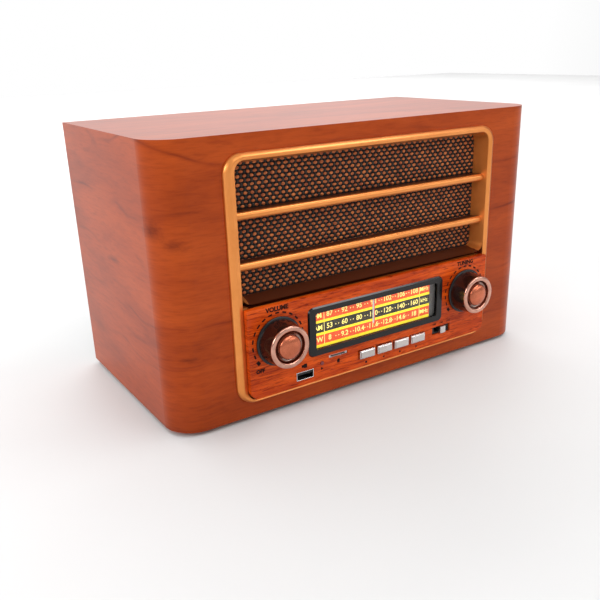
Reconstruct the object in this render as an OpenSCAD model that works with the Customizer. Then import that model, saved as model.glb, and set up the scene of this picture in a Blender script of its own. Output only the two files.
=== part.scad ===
// Table radio in a wooden cabinet: tuning and volume knobs, lit dial with a cord-driven pointer,
// slatted speaker grille, media sockets, push buttons, battery box and telescopic aerial.
// Millimetres, +Z up, front faces -Y, feet stand on z = 0.

/* [Cabinet] */
// Width of the cabinet
cabinet_w = 300; // [290:1:330]
// Depth of the cabinet boards, front face to rear edge
cabinet_d = 156; // [154:1:190]
// Height of the cabinet without its feet
cabinet_h = 178; // [177:1:200]
// Thickness of the cabinet boards
board_t = 9; // [8.6:0.1:9]
// Radius of the two upright front corners
corner_r = 20; // [16:1:26]
// Height of the rubber feet
foot_h = 3; // [2.5:0.5:8]
// Diameter of the rubber feet
foot_d = 18; // [14:1:22]

/* [Grille] */
// How far the bezel flange stands in front of the cabinet
flange_t = 3.6; // [3.3:0.1:3.9]
// Height of the rounded nose of a grille slat
slat_h = 5; // [4:0.5:7]
// Distance between the two grille slats
slat_pitch = 31; // [27:1:33]
// Thickness of the grille cloth
cloth_t = 0.6; // [0.4:0.1:0.8]

/* [Knobs] */
// Diameter of the knob base flange
knob_d = 32.4; // [29:0.2:34]
// Distance from the panel to the front of the knob ring
knob_h = 15; // [13:0.5:18]
// Diameter of the knob cap
cap_d = 16; // [12:0.5:18]
// Distance of the knob axes from the middle of the radio
knob_x = 80.4; // [80:0.1:82]

/* [Dial] */
// Place of the pointer at rest, left or right of the middle
pointer_x = -2.9; // [-10:0.1:10]
// Groove radius of the dial drum
drum_r = 27.4; // [24:0.1:27.6]
// Radius of the tuning shaft where the cord goes round it
winding_r = 3.2; // [3.1:0.1:3.6]

/* [Controls] */
// Width of a push button
button_w = 12.9; // [9:0.1:14]
// How far a push button stands in front of the panel
button_proud = 2.5; // [2:0.1:4]
// Thickness of the panel board
panel_t = 4; // [3.5:0.1:4.4]

/* [Aerial] */
// Length of the thickest aerial tube
aerial_l = 170; // [120:5:200]
// Radius of the thickest aerial tube
aerial_r = 3.5; // [3.3:0.1:3.8]

/* [Hidden] */
$fn = 64;
e = 0.01;
gap = 0.3;                         // between pieces that move past each other
run = 0.06;                        // running fit of shafts, on the radius
inner_x = cabinet_w / 2 - board_t;
inner_z0 = board_t;
inner_z1 = cabinet_h - board_t;
rear_y = cabinet_d - 4;            // outer face of the back panel
panel_inner_y = rear_y - 3;
cleat_y = panel_inner_y - 10;

// bezel and grille
bezel_x = 108.3;
bezel_z = [10.3, 167.2];
bezel_mid = (bezel_z[0] + bezel_z[1]) / 2;
bezel_h = bezel_z[1] - bezel_z[0];
bezel_r = 12;
mouth_x = 102;                     // inner edge of the flange
mouth_z = [12.5, 163.3];
throat_x = 99;                     // where the funnel meets the cloth
tube_x = 104;                      // outer wall of the bezel tube
tube_z = [14.6, 162.9];
hole_x = 104.3;                    // cut-out in the cabinet front
hole_z = [14.3, 163.2];
tray_y = -3;                       // front of the tray that carries the panel
tray_top = 76.3;
cloth_y = board_t - cloth_t;
slat_z = [130.5, 130.5 - slat_pitch];
slat_nose_y = -0.5;

// control panel
panel_front = tray_y - panel_t;
panel_x = 101.7;
panel_z = [14.5, 74.3];
knob_z = 50.5;
shaft_r = 3;
dial_mid_z = 49.3;
dial_w = 116.4;
dial_h = 34.2;
window_w = 105;
window_z = [37.1, 62.1];
pocket_x = 54;
pocket_z = [36.2, 64.2];
usb_mid = [-61.2, 21.2];
card_mid = [-34.4, 29];
led_mid = [-47.8, 26.2];
button_z = 24;
button_x = [for (i = [0 : 3]) -10.85 + 15.3 * i];
switch_mid = [58.75, 24.75];
switch_knob_x = 59.5;
board_y = 9;                       // front of the main circuit board

// dial drive
cord_y = 22;
cord_r = 0.4;
cord_lift = cord_r + gap;
chassis_y = 27;
drum_x = -15;
drum_z = 38.8;
pulley_x = 70;
pulley_z = 66;
pulley_r = 5;
rail_z = 75.4;
rail_r = 1.2;
top_run_z = pulley_z + pulley_r + cord_lift;

// knob heights, measured forwards from the cabinet front
knob_back = -panel_front + gap;
ring_front = -panel_front + knob_h;
recess_floor = ring_front - 3.5;
cap_front = ring_front + 1.7;

// speaker
speaker_z = 118;
baffle_t = 5;
baffle_back = board_t + baffle_t;

// battery box
battery_x = [-24, 100];
battery_z = [16, 84];
battery_mid = (battery_x[0] + battery_x[1]) / 2;
battery_front = rear_y - 38;
cell_r = 16.5;
door_axis = [rear_y - 1.3, battery_z[0] + 1.3];

// aerial
aerial_x = -112;
aerial_z = 150;
aerial_y = rear_y + 9.5;
rest_back = aerial_y + 4.5;

front_y = -(rest_back - cap_front) / 2;

wood_screws_back = [for (x = [-134, 134], z = [22, 90, 158]) [x * inner_x / 141, z]];
wood_screws_baffle = [for (x = [-112, 112], z = [88, 155]) [x, z]];
wood_screws_bezel = [for (x = [-101.9, 101.9], z = [90, 150]) [x, z]];
wood_screws_chassis = [-85, 0, 85];

// ---- shared shapes ----

// Puts a piece drawn from the cabinet front and underside into the final frame.
module place() translate([0, front_y, foot_h]) children();

// A flat shape drawn in x and z, extruded from y0 back to y1.
module upright(y0, y1) translate([0, y1, 0]) rotate([90, 0, 0]) linear_extrude(y1 - y0) children();

// A shape turned round an axis that points forwards; heights count forwards.
module turned(x, z) translate([x, 0, z]) rotate([90, 0, 0]) children();

// A cylinder along y.
module rod_y(x, z, y0, y1, r) translate([x, y1, z]) rotate([90, 0, 0]) cylinder(r = r, h = y1 - y0);

module rounded(w, h, r) {
  square([w, h - 2 * r], center = true);
  square([w - 2 * r, h], center = true);
  for (sx = [-1, 1], sy = [-1, 1]) translate([sx * (w / 2 - r), sy * (h / 2 - r)]) circle(r);
}

// A rounded rectangle between two heights.
module rounded_at(x, z, r) translate([0, (z[0] + z[1]) / 2]) rounded(2 * x, z[1] - z[0], r);

// A slab whose four sides lean inwards all round: w by h with corner r below, smaller by
// `lean` a side above.
module leaning_slab(w, h, r, d, lean) {
  translate([0, (h - 2 * r) / 2, 0]) rotate([90, 0, 0]) linear_extrude(h - 2 * r)
    polygon([[-w / 2, 0], [w / 2, 0], [w / 2 - lean, d], [-w / 2 + lean, d]]);
  translate([-(w - 2 * r) / 2, 0, 0]) rotate([90, 0, 90]) linear_extrude(w - 2 * r)
    polygon([[-h / 2, 0], [h / 2, 0], [h / 2 - lean, d], [-h / 2 + lean, d]]);
  for (q = [0 : 3]) translate([(q == 0 || q == 3 ? 1 : -1) * (w / 2 - r),
      (q < 2 ? 1 : -1) * (h / 2 - r), 0]) rotate([0, 0, 90 * q])
    rotate_extrude(angle = 90) polygon([[0, 0], [r, 0], [r - lean, d], [0, d]]);
}

// ---- cabinet ----

module footprint(shrink) {
  translate([-cabinet_w / 2 + shrink, corner_r])
    square([cabinet_w - 2 * shrink, cabinet_d - corner_r]);
  translate([-cabinet_w / 2 + corner_r, shrink])
    square([cabinet_w - 2 * corner_r, cabinet_d - shrink]);
  for (s = [-1, 1]) translate([s * (cabinet_w / 2 - corner_r), corner_r])
    circle(corner_r - shrink);
}

// Board with mitred front and side edges: full size on its upper face.
module mitred_board() {
  straight = cabinet_w - 2 * corner_r;
  translate([0, cabinet_d, 0]) rotate([90, 0, 0]) linear_extrude(cabinet_d - corner_r)
    polygon([[-inner_x, 0], [inner_x, 0], [cabinet_w / 2, board_t], [-cabinet_w / 2, board_t]]);
  translate([-straight / 2, 0, 0]) rotate([90, 0, 90]) linear_extrude(straight)
    polygon([[board_t, 0], [corner_r + e, 0], [corner_r + e, board_t], [0, board_t]]);
  for (s = [0, 1]) mirror([s, 0, 0]) translate([straight / 2, corner_r, 0])
    rotate([0, 0, -90]) rotate_extrude(angle = 90)
      polygon([[0, 0], [corner_r - board_t, 0], [corner_r, board_t], [0, board_t]]);
}

module wood_screw() {
  cylinder(r = 1.5, h = 11);
  translate([0, 0, -2]) cylinder(r1 = 2.4, r2 = 3, h = 2);
}

// Every wood screw, pointing the way it is driven.
module each_wood_screw() {
  for (p = wood_screws_back) translate([p[0], rear_y, p[1]]) rotate([90, 0, 0]) children();
  for (p = wood_screws_baffle) translate([p[0], baffle_back, p[1]]) rotate([90, 0, 0]) children();
  for (p = wood_screws_bezel) translate([p[0], baffle_back, p[1]]) rotate([90, 0, 0]) children();
  for (x = wood_screws_chassis) translate([x, chassis_y + 11, inner_z0 + 1.2 + 1]) mirror([0, 0, 1])
    children();
}

module top_shape() translate([0, 0, cabinet_h - board_t]) mitred_board();
module bottom_shape() translate([0, 0, board_t]) mirror([0, 0, 1]) mitred_board();

module cabinet_wrap() color("sienna") place() difference() {
  linear_extrude(cabinet_h) footprint(0);
  translate([0, 0, -1]) linear_extrude(cabinet_h + 2) {
    footprint(board_t);
    translate([-inner_x, cabinet_d - 1]) square([2 * inner_x, 2]);
  }
  top_shape();
  bottom_shape();
  upright(-1, board_t + 1) rounded_at(hole_x, hole_z, 8);
  for (p = wood_screws_baffle) rod_y(p[0], p[1], baffle_back - 11, baffle_back, 1.5);
}

module top_board() color("sienna") place() top_shape();

module bottom_board() color("sienna") place() difference() {
  bottom_shape();
  for (x = wood_screws_chassis) translate([x, chassis_y + 11, 2.2 + inner_z0 - 11])
    cylinder(r = 1.5, h = 12);
}

module back_cleats() color("burlywood") place() {
  difference() {
    for (s = [-1, 1]) translate([s * (inner_x - 7) - 7, cleat_y, inner_z0])
      cube([14, 10, inner_z1 - inner_z0]);
    for (p = wood_screws_back) rod_y(p[0], p[1], rear_y - 11, rear_y, 1.5);
  }
  translate([-inner_x + 14, cleat_y, inner_z1 - 10]) cube([2 * inner_x - 28, 10, 10]);
}

module vent_slots() for (i = [-7 : 7]) translate([i * 10, 117]) rounded(3.4, 40, 1.6);

module back_panel() color("#222222") place() difference() {
  upright(panel_inner_y, rear_y) difference() {
    translate([0, cabinet_h / 2])
      square([2 * inner_x - 0.6, inner_z1 - inner_z0 - 0.6], center = true);
    vent_slots();
    translate([battery_x[0], battery_z[0]])
      square([battery_x[1] - battery_x[0], battery_z[1] - battery_z[0]]);
    translate([-112, 24]) square([24, 16]);
    translate([-100, 62]) circle(3.25);
    translate([aerial_x, aerial_z]) circle(4 + run);
    for (p = wood_screws_back) translate(p) circle(1.5);
  }
  translate([battery_x[0] - 2, door_axis[0], door_axis[1]]) rotate([0, 90, 0])
    cylinder(r = 0.8 + run, h = battery_x[1] - battery_x[0] + 4);
}

// The folded aerial lies on this rest.
module aerial_rest() color("#222222") place() {
  bottom = aerial_z - aerial_r - gap;
  translate([40, rear_y, bottom - 2.2]) cube([10, rest_back - rear_y, 2.2]);
  translate([40, rear_y, bottom - 1]) cube([10, aerial_y - aerial_r - gap - rear_y, 9]);
}

module wood_screws() color("silver") place() each_wood_screw() wood_screw();

module rubber_feet() color("#1a1a1a") translate([0, front_y, 0])
  for (x = [-1, 1], y = [26, cabinet_d - 26]) translate([x * (cabinet_w / 2 - 25), y, 0])
    cylinder(r1 = foot_d / 2 - 1, r2 = foot_d / 2, h = foot_h);

// ---- grille ----

module bezel_outline(grow) rounded_at(mouth_x + grow, [mouth_z[0] - grow, mouth_z[1] + grow], 7);

// Openings through the panel; the tray behind has the same ones, a little larger.
module panel_openings(grow) {
  rounded_at(55.3 + grow, [34.9 - grow, 65.5 + grow], 2.5);
  translate([usb_mid[0], usb_mid[1]]) square([13.6 + grow, 6.2 + grow], center = true);
  translate([card_mid[0], card_mid[1]]) square([15.4 + grow, 2.2 + grow], center = true);
  translate([led_mid[0], led_mid[1]]) circle(1.5);
  for (x = button_x) translate([x, button_z])
    square([button_w + 2 * gap, 6 + 2 * gap], center = true);
  translate([switch_mid[0], switch_mid[1]]) square([17.5, 6.1], center = true);
}

module slat(z) translate([-throat_x - 2, 0, z]) rotate([90, 0, 90])
  linear_extrude(2 * throat_x + 4) {
    translate([slat_nose_y + slat_h / 2, 0]) circle(slat_h / 2);
    translate([slat_nose_y + slat_h / 2, -slat_h / 2])
      square([cloth_y - slat_nose_y - slat_h / 2, slat_h]);
  }

module grille_bezel() color("goldenrod") place() difference() {
  union() {
    difference() {
      union() {
        // flange with its broad outer facet, then the tube behind it
        translate([0, -flange_t / 2, bezel_mid]) rotate([90, 0, 0])
          leaning_slab(2 * bezel_x, bezel_h, bezel_r, flange_t / 2, 1.6);
        upright(-flange_t / 2, 0) rounded_at(bezel_x, bezel_z, bezel_r);
        upright(0, cloth_y) rounded_at(tube_x, tube_z, 7.7);
      }
      // funnel that narrows towards the cloth
      translate([0, -flange_t - e, (tray_top + mouth_z[1]) / 2]) rotate([-90, 0, 0])
        leaning_slab(2 * mouth_x, mouth_z[1] - tray_top, 7, cloth_y + flange_t + 2 * e, 3);
      upright(-flange_t - 1, tray_y) rounded_at(mouth_x, [mouth_z[0], tray_top + 8], 6);
      upright(0, cloth_y + 1) rounded_at(tube_x - 2, [tube_z[0] + 2, tray_top - 2], 5);
    }
    for (z = slat_z) slat(z);
  }
  upright(tray_y - 1, 1) panel_openings(0.4);
  rod_y(knob_x, knob_z, tray_y - 1, 1, shaft_r + run);
  rod_y(-knob_x, knob_z, tray_y - 1, 1, 3.65);
  for (p = wood_screws_bezel) rod_y(p[0], p[1], baffle_back - 11, baffle_back, 1.5);
}

module grille_cloth() color("#4a2a18") place() upright(cloth_y, board_t) difference() {
  rounded_at(tube_x - 0.2, [tray_top + 0.8, tube_z[1] - 0.2], 7.5);
  for (p = wood_screws_bezel) translate(p) circle(1.5);
}

module speaker_baffle() color("peru") place() upright(board_t, baffle_back) difference() {
  translate([0, 122.5]) square([238, 89], center = true);
  translate([0, speaker_z]) circle(38.5);
  for (p = wood_screws_baffle) translate(p) circle(1.5);
  for (p = wood_screws_bezel) translate(p) circle(1.5);
  for (a = [45 : 90 : 315]) translate([41.3 * cos(a), speaker_z + 41.3 * sin(a)]) circle(1.2);
  for (s = [-1, 1], i = [0 : 3], j = [0 : 3])
    translate([s * (56 + 11 * i), speaker_z + 16.5 * (j - 1.5)]) circle(4);
}

// ---- speaker ----

module speaker_frame() color("#3a3a3a") place() turned(0, speaker_z) difference() {
  rotate_extrude() polygon([[38.5, -14], [43.5, -14], [43.5, -15.4], [39, -15.4], [25, -34],
    [25, -37], [16, -37], [16, -35.8], [23.8, -35.8], [23.8, -33.6], [37.6, -15.4],
    [38.5, -15.4]]);
  for (a = [0 : 60 : 300]) rotate([0, 0, a]) translate([23, -8, -33]) cube([20, 16, 16]);
  for (a = [45 : 90 : 315]) translate([41.3 * cos(a), 41.3 * sin(a), -16]) cylinder(r = 1.2, h = 3);
}

module speaker_magnet() color("#555555") place() turned(0, speaker_z) {
  rotate_extrude() polygon([[0, -52], [20, -52], [20, -50], [22.5, -50], [22.5, -39.5],
    [20, -39.5], [20, -37], [10.6, -37], [10.6, -49], [9.2, -49], [9.2, -37], [0, -37]]);
}

module speaker_cone() color("#202020") place() turned(0, speaker_z)
  rotate_extrude() polygon([[38.5, -14.2], [38.5, -15.2], [36, -13.4], [33.4, -15.6],
    [10.2, -32], [10.2, -44], [9.6, -44], [9.6, -31.2], [33.2, -14.4], [36, -12.4]]);

module speaker_dust_cap() color("#151515") place() turned(0, speaker_z)
  translate([0, 0, -29.75]) difference() {
    cylinder(r1 = 11.6, r2 = 6, h = 3.4);
    translate([0, 0, -e]) cylinder(r1 = 10.9, r2 = 5.2, h = 2.8);
  }

module speaker_screws() color("silver") place()
  for (a = [45 : 90 : 315])
    translate([41.3 * cos(a), 15.4, speaker_z + 41.3 * sin(a)]) rotate([90, 0, 0]) {
      cylinder(r = 1.2, h = 6);
      translate([0, 0, -1.4]) cylinder(r1 = 1.6, r2 = 2.1, h = 1.4);
    }

// ---- control panel and dial ----

module control_panel() color("darkorange") place() upright(panel_front, tray_y) difference() {
  union() {
    rounded_at(panel_x, panel_z, 5.5);
    translate([-panel_x, panel_z[1] - 12]) square([2 * panel_x, 11]);
    translate([-panel_x + 1, panel_z[1] - 8]) square([2 * panel_x - 2, 8]);
    for (s = [-1, 1]) translate([s * (panel_x - 1), panel_z[1] - 1]) circle(1);
  }
  panel_openings(0);
  for (s = [-1, 1]) translate([s * knob_x, knob_z]) circle(4.6);
}

module dial_frame() color("#111111") place() difference() {
  union() {
    translate([0, panel_front, dial_mid_z]) rotate([90, 0, 0])
      leaning_slab(dial_w, dial_h, 4, 1.2, 0.8);
    upright(panel_front - e, tray_y + 1.5) rounded_at(55, [35.2, 65.2], 2.2);
  }
  upright(panel_front - 2, panel_front + 1)
    rounded_at(window_w / 2, window_z, 1.5);
  upright(panel_front + 0.1, tray_y + 2) rounded_at(pocket_x, pocket_z, 1.2);
}

module dial_lens() color("lightblue") place()
  upright(panel_front + 0.1, panel_front + 1.6) rounded_at(pocket_x, pocket_z, 1.2);

module dial_scale() color("gold") place()
  upright(tray_y - 0.6, tray_y + 0.2)
    translate([-pocket_x, pocket_z[0]]) difference() {
      square([2 * pocket_x, 26.1]);
      for (s = [0, 1]) translate([s * 2 * pocket_x, 0]) circle(1.5);
    }

module tuning_pointer() color("red") place() translate([pointer_x, 0, 0]) difference() {
  union() {
    // blade in front of the scale, arm over its top edge, slider on the rail
    translate([-0.9, tray_y - 1.9, 43.6]) cube([1.8, 0.8, 20.2]);
    translate([-0.9, tray_y - 1.9, 62.6]) cube([1.8, 16.1, 1.2]);
    translate([-1.5, 10, 62.6]) cube([3, 1.2, 9]);
    translate([-1.5, 10, 69.6]) cube([3, 10, 2]);
    translate([-4, 19.5, 69.6]) cube([8, 5, 8.6]);
  }
  translate([-5, cord_y, rail_z]) rotate([0, 90, 0]) cylinder(r = rail_r + run, h = 10);
  translate([-5, cord_y, top_run_z]) rotate([0, 90, 0]) cylinder(r = cord_r + 0.4, h = 10);
}

module pointer_rail() color("silver") place()
  translate([-62, cord_y, rail_z]) rotate([0, 90, 0]) cylinder(r = rail_r, h = 124);

module dial_chassis() color("lightgrey") place() {
  difference() {
    union() {
      translate([-98, chassis_y, inner_z0]) cube([196, 1.2, 69.6]);
      translate([-98, chassis_y, inner_z0]) cube([196, 20, 1.2]);
      for (s = [-1, 1]) translate([s * 60 - 0.6, 19, 72.8]) cube([1.2, 8.1, 5.4]);
      for (x = [-92, 92], z = [20, 56]) rod_y(x, z, board_y + 1.6, chassis_y + e, 2.6);
      for (s = [-1, 1]) {
        rod_y(s * pulley_x, pulley_z, 19.6, chassis_y + e, 1.5);
        rod_y(s * pulley_x, pulley_z, 18.9, 19.7, 2.6);
        rod_y(s * pulley_x, pulley_z, 24.3, chassis_y + e, 2.6);
      }
    }
    for (s = [-1, 1]) translate([s * 60 - 1, cord_y, rail_z]) rotate([0, 90, 0])
      cylinder(r = rail_r, h = 2);
    rod_y(knob_x, knob_z, chassis_y - 1, chassis_y + 3, shaft_r + run);
    rod_y(drum_x, drum_z, chassis_y - 1, chassis_y + 3, 4.05);
    for (x = wood_screws_chassis) translate([x, chassis_y + 11, inner_z0 - 1])
      cylinder(r = 1.5, h = 4);
    for (x = [-60, 30]) translate([x, chassis_y - 1, 22]) cube([24, 4, 32]);
  }
  // washers under the chassis screws
  for (x = wood_screws_chassis) translate([x, chassis_y + 11, inner_z0 + 1.2]) difference() {
    cylinder(r = 3.6, h = 1);
    translate([0, 0, -1]) cylinder(r = 1.5, h = 3);
  }
}

module dial_drum() color("ivory") place() turned(drum_x, drum_z) difference() {
  rotate_extrude() polygon([[0, -29], [shaft_r, -29], [shaft_r, -24.6], [7, -24.6], [7, -24],
    [drum_r + 1.8, -24], [drum_r, -22.5], [drum_r, -21.5], [drum_r + 1.8, -20], [7, -20],
    [7, -17], [0, -17]]);
  for (a = [0 : 60 : 300]) translate([17 * cos(a), 17 * sin(a), -25]) cylinder(r = 5, h = 6);
}

module pulley(side) color("ivory") place() turned(side * pulley_x, pulley_z)
  rotate_extrude() polygon([[1.5 + run, -24], [pulley_r + 1.4, -24], [pulley_r, -22.5],
    [pulley_r, -21.5], [pulley_r + 1.4, -20], [1.5 + run, -20]]);

module pulley_left() pulley(-1);
module pulley_right() pulley(1);

// The cord is one closed loop, drawn clockwise round four circles.
cord_circles = [[-pulley_x, pulley_z, pulley_r + cord_lift],
  [pulley_x, pulley_z, pulley_r + cord_lift],
  [knob_x, knob_z, winding_r + cord_lift],
  [drum_x, drum_z, drum_r + cord_lift]];

// Angle at which the straight run from circle a leaves it towards circle b.
function leave(a, b) = let (d = [b[0] - a[0], b[1] - a[1]])
  atan2(d[1], d[0]) + acos((a[2] - b[2]) / norm(d));

function turn(a) = a - 360 * floor(a / 360);

// The area inside the loop, drawn `grow` further out, with ten short sides round each circle.
module loop_area(grow) polygon([for (i = [0 : 3], k = [0 : 10])
  let (b = cord_circles[i],
    first = leave(cord_circles[(i + 3) % 4], b),
    last = leave(b, cord_circles[(i + 1) % 4]),
    angle = first - turn(first - last) * k / 10)
  [b[0] + (b[2] + grow) * cos(angle), b[1] + (b[2] + grow) * sin(angle)]]);

module dial_cord() color("darkgreen") place() upright(cord_y - cord_r, cord_y + cord_r)
  difference() {
    loop_area(cord_r);
    loop_area(-cord_r);
  }

module tuning_capacitor() color("whitesmoke") place() difference() {
  union() {
    translate([drum_x - 10, chassis_y + 1.2, drum_z - 10]) cube([20, 16, 20]);
    rod_y(drum_x, drum_z, chassis_y - 1.6, chassis_y + 2, 4);
  }
  rod_y(drum_x, drum_z, chassis_y - 2, chassis_y + 3, shaft_r + run);
}

// ---- knobs and shafts ----

module knob_body(x) color("#3a120c") place() turned(x, knob_z) rotate_extrude() polygon([
  [shaft_r, knob_back], [knob_d / 2, knob_back], [knob_d / 2, knob_back + 1.6],
  [knob_d / 2 - 1.2, knob_back + 2.6], [knob_d / 2 - 2.4, ring_front - 1.4],
  [10.5, ring_front - 1.4], [10.5, recess_floor], [shaft_r, recess_floor]]);

module knob_ring(x) color("#b87350") place() turned(x, knob_z) rotate_extrude() polygon([
  [10.5, ring_front - 1.4], [knob_d / 2 - 2.4, ring_front - 1.4],
  [knob_d / 2 - 2.4, ring_front - 0.8], [knob_d / 2 - 3.2, ring_front], [11.4, ring_front],
  [10.5, ring_front - 0.7]]);

module knob_cap(x) color("#c98566") place() turned(x, knob_z) intersection() {
  dome = cap_front - recess_floor - 2;
  ball = (cap_d * cap_d / 4 + dome * dome) / (2 * dome);
  translate([0, 0, recess_floor]) cylinder(r = cap_d / 2, h = 10);
  translate([0, 0, cap_front - ball]) sphere(ball);
}

module tuning_knob_body() knob_body(knob_x);
module tuning_knob_ring() knob_ring(knob_x);
module tuning_knob_cap() knob_cap(knob_x);
module volume_knob_body() knob_body(-knob_x);
module volume_knob_ring() knob_ring(-knob_x);
module volume_knob_cap() knob_cap(-knob_x);

module tuning_shaft() color("silver") place() turned(knob_x, knob_z)
  rotate_extrude() polygon([[0, recess_floor], [shaft_r, recess_floor], [shaft_r, -20],
    [winding_r + 1.2, -20], [winding_r, -21.4], [winding_r, -22.6], [winding_r + 1.2, -24],
    [shaft_r, -24], [shaft_r, -30], [0, -30]]);

module volume_shaft() color("silver") place()
  rod_y(-knob_x, knob_z, -recess_floor, 5.5, shaft_r);

module volume_control() color("#b8a890") place() difference() {
  union() {
    rod_y(-knob_x, knob_z, 0, board_y, 8.5);
    rod_y(-knob_x, knob_z, tray_y - 2.6, e, 3.6);
  }
  rod_y(-knob_x, knob_z, tray_y - 3, 6, shaft_r + run);
}

// ---- circuit board and what it carries ----

module main_board() color("darkgreen") place() upright(board_y, board_y + 1.6) difference() {
  translate([0, 37.5]) square([196, 45], center = true);
  translate([knob_x, knob_z]) circle(6);
}

module usb_shell() color("silver") place() difference() {
  translate([usb_mid[0], 0, usb_mid[1]]) translate([-6.6, panel_front, -2.9])
    cube([13.2, board_y - panel_front, 5.8]);
  translate([usb_mid[0], 0, usb_mid[1]]) translate([-6.2, panel_front - 1, -2.5])
    cube([12.4, board_y - panel_front, 5]);
}

module usb_tongue() color("#202020") place()
  translate([usb_mid[0] - 5.5, panel_front + 1, usb_mid[1] + 0.4])
    cube([11, board_y - 2 - panel_front, 1.8]);

module card_socket() color("#909090") place() difference() {
  translate([card_mid[0] - 7.6, panel_front + 0.6, card_mid[1] - 1])
    cube([15.2, board_y - panel_front - 0.6, 2]);
  translate([card_mid[0] - 6, panel_front, card_mid[1] - 0.5])
    cube([12, 14, 1]);
}

module tact_switches() color("#303030") place() for (x = button_x) {
  translate([x - 3, board_y - 3.5, button_z - 3]) cube([6, 3.5, 6]);
  rod_y(x, button_z, board_y - 4.5, board_y - 3.5 + e, 1.7);
}

module play_led() color("red") place() {
  rod_y(led_mid[0], led_mid[1], panel_front - 0.3, 1, 1.3);
  for (s = [-1, 1]) rod_y(led_mid[0] + s * 0.6, led_mid[1], 1 - e, board_y, 0.25);
}

module band_switch_body() color("#181818") place() difference() {
  union() {
    translate([switch_mid[0] - 8.6, panel_front + 1.5, switch_mid[1] - 2.9])
      cube([17.2, board_y - panel_front - 1.5, 5.8]);
    translate([switch_mid[0] - 10.5, 1, switch_mid[1] - 4.6]) cube([21, board_y - 1, 9.2]);
  }
  translate([53.1, panel_front, switch_mid[1] - 1.8]) cube([12.8, 4 - panel_front, 3.6]);
}

module band_switch_knob() color("silver") place() translate([switch_knob_x, 0, switch_mid[1]]) {
  translate([-2.5, panel_front - 1.5, -2.6]) cube([5, 2.7, 5.2]);
  translate([-1.6, panel_front + 1.2 - e, -1.45]) cube([3.2, 3.6 - panel_front - 1.2 + e, 2.9]);
}

module push_button(x) color("gainsboro") place() translate([x, 0, button_z]) {
  translate([-button_w / 2, panel_front - button_proud + 0.6, -3])
    cube([button_w, 3 + button_proud - 0.6 - panel_front, 6]);
  translate([-button_w / 2 + 0.7, panel_front - button_proud, -2.4])
    cube([button_w - 1.4, 0.6 + e, 4.8]);
  translate([-button_w / 2, gap, -4.6]) cube([button_w, 1.5, 9.2]);
}

module push_button_1() push_button(button_x[0]);
module push_button_2() push_button(button_x[1]);
module push_button_3() push_button(button_x[2]);
module push_button_4() push_button(button_x[3]);

// ---- power ----

module transformer_core() color("#555555") place() translate([-100, 111, inner_z0]) difference() {
  translate([-22, -9, 0]) cube([44, 18, 38]);
  for (s = [-1, 1]) translate([s * 10.5 - 3.5, -10, 7]) cube([7, 20, 24]);
}

module transformer_coil() color("#b5651d") place() translate([-100, 111, inner_z0 + 7])
  difference() {
    translate([-14, -15, 0.2]) cube([28, 30, 23.6]);
    translate([-7, -9, -1]) cube([14, 18, 30]);
    for (s = [-1, 1]) translate([s * 18 - 4, -9, -1]) cube([8, 18, 30]);
  }

module power_inlet() color("#101010") place() translate([-100, 0, 32]) {
  difference() {
    union() {
      translate([-12, rear_y - 20, -8]) cube([24, 20.2, 16]);
      translate([-14, rear_y, -10]) cube([28, 1.2, 20]);
    }
    translate([0, 0, 0]) upright(rear_y - 14, rear_y + 2) {
      for (s = [-1, 1]) translate([s * 4.4, 0]) circle(4.4);
      square([8.8, 5.4], center = true);
    }
  }
  for (s = [-1, 1]) rod_y(s * 4.3, 0, rear_y - 14 - e, rear_y - 3, 1.2);
}

module aux_jack() color("#c0c0c0") place() difference() {
  union() {
    rod_y(-100, 62, panel_inner_y - 12, rear_y + 1.4, 3.2);
    translate([-105, panel_inner_y - 13, 57]) cube([10, 12.9, 10]);
    rod_y(-100, 62, rear_y, rear_y + 1.4, 5);
  }
  rod_y(-100, 62, rear_y - 13, rear_y + 2, 1.8);
}

module battery_tray() color("#252525") place() difference() {
  translate([battery_x[0] - 2, battery_front, battery_z[0] - 2])
    cube([battery_x[1] - battery_x[0] + 4, panel_inner_y - battery_front,
      battery_z[1] - battery_z[0] + 4]);
  for (z = [battery_z[0], battery_z[0] + 35])
    translate([battery_x[0], battery_front + 2, z])
      cube([battery_x[1] - battery_x[0], panel_inner_y - battery_front, 33]);
}

module battery_cells() color("steelblue") place()
  for (z = [battery_z[0] + cell_r, battery_z[0] + 35 + cell_r], i = [0, 1])
    translate([battery_x[0] + 1 + 61 * i, battery_front + 2 + cell_r, z]) rotate([0, 90, 0]) {
      cylinder(r = cell_r, h = 59);
      translate([0, 0, 59 - e]) cylinder(r = 4.7, h = 1.8);
    }

module battery_door() color("#2c2c2c") place() {
  w = battery_x[1] - battery_x[0] - 2 * gap;
  top = battery_z[1] - gap - door_axis[1];
  translate([battery_mid - w / 2, door_axis[0], door_axis[1]]) {
    rotate([90, 0, 90]) linear_extrude(w) difference() {
      union() {
        circle(1);
        translate([-1, 0]) square([2, top]);
      }
      for (k = [0 : 2]) translate([1, top - 8 - 3 * k]) circle(0.6);
    }
    for (x = [-1.5, w - 0.1]) translate([x, 0, 0]) rotate([0, 90, 0]) cylinder(r = 0.8, h = 1.6);
  }
}

// ---- aerial ----

module aerial_swivel() color("silver") place() translate([aerial_x, 0, aerial_z]) {
  difference() {
    union() {
      rod_y(0, 0, panel_inner_y - 2.6, rear_y + gap + e, 4);
      rod_y(0, 0, panel_inner_y - 2.6, panel_inner_y - gap, 7);
      rod_y(0, 0, rear_y + gap, rear_y + 4, 8);
    }
  }
  for (s = [-1, 1]) translate([-3.6, rear_y + 3.9, s * 3.3 - 1]) cube([7.2, 9.6, 2]);
  translate([0, aerial_y, -4.3]) cylinder(r = 1.5, h = 8.6);
}

module along_aerial(x) translate([aerial_x + x, aerial_y, aerial_z]) rotate([0, 90, 0]) children();

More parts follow.
